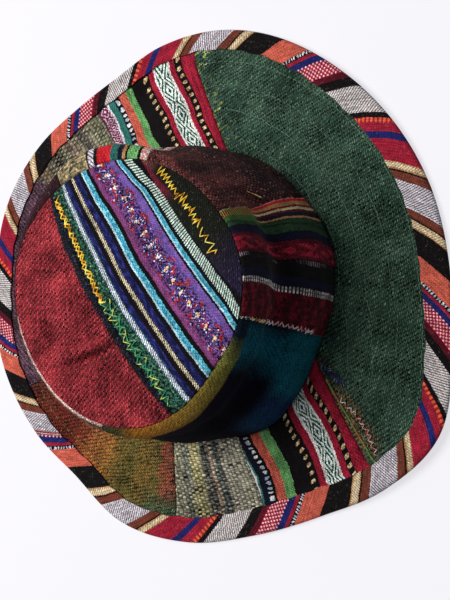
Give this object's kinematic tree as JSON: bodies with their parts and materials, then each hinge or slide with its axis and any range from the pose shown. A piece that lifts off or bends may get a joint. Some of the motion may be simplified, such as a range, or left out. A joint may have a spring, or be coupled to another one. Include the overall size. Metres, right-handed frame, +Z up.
{
  "type": "patchwork hemp sun hat",
  "caption": "Soft round sun hat with a flat top, a slumped crown and a wide drooping brim, sewn from striped and plain cloth patches with a bias-bound edge.",
  "frame": {"origin": "middle of the hat's box, on the surface that its brim rests on", "axes": "+Z up through the crown, +X towards the middle of the long green brim patch, +Y towards the narrow stripes behind it"},
  "size_m": [0.3468, 0.3426, 0.1106],
  "materials": {
    "hemp_green": "coarse dark green hemp with stitched rows",
    "stripe_cloth": "woven crimson, black, cream, teal and green stripes",
    "tweed_grey": "grey-green and brown tweed",
    "hemp_dark": "near-black aubergine hemp",
    "hemp_dyed": "hemp dyed from rust through gold to olive",
    "tweed_beige": "beige, olive and black tweed",
    "bias_stripe": "bias-cut woven stripes, pale grey, orange, crimson, black and brown",
    "rib_weave": "ribbed olive and beige weave",
    "hemp_brown": "dark brown basket weave",
    "stripe_side": "woven stripes, red, navy, green and pale pink",
    "hemp_wine": "dark wine hemp",
    "hemp_pale": "pale pinkish hemp",
    "hemp_teal": "hemp dyed from golden olive through navy to teal",
    "figured_weave": "crimson and black weave with dotted lines",
    "hemp_red": "coarse red basket weave",
    "stripe_band": "woven band of green, white, cream, cyan and purple stripes with lozenges",
    "embroidered_hemp": "black-green hemp with yellow zigzag stitching"
  },
  "bodies": {
    "root": {"brim_green": "hemp_green", "brim_striped_back": "stripe_cloth", "brim_tweed_back": "tweed_grey", "brim_dark": "hemp_dark", "brim_dyed": "hemp_dyed", "brim_tweed_front": "tweed_beige", "brim_striped_front": "stripe_cloth", "brim_binding": "bias_stripe", "side_ribbed": "rib_weave", "side_brown": "hemp_brown", "side_striped": "stripe_side", "side_wine": "hemp_wine", "side_pale": "hemp_pale", "side_teal": "hemp_teal", "side_patterned": "figured_weave", "tip_red": "hemp_red", "tip_striped": "stripe_band", "tip_embroidered": "embroidered_hemp"}
  },
  "joints": []
}
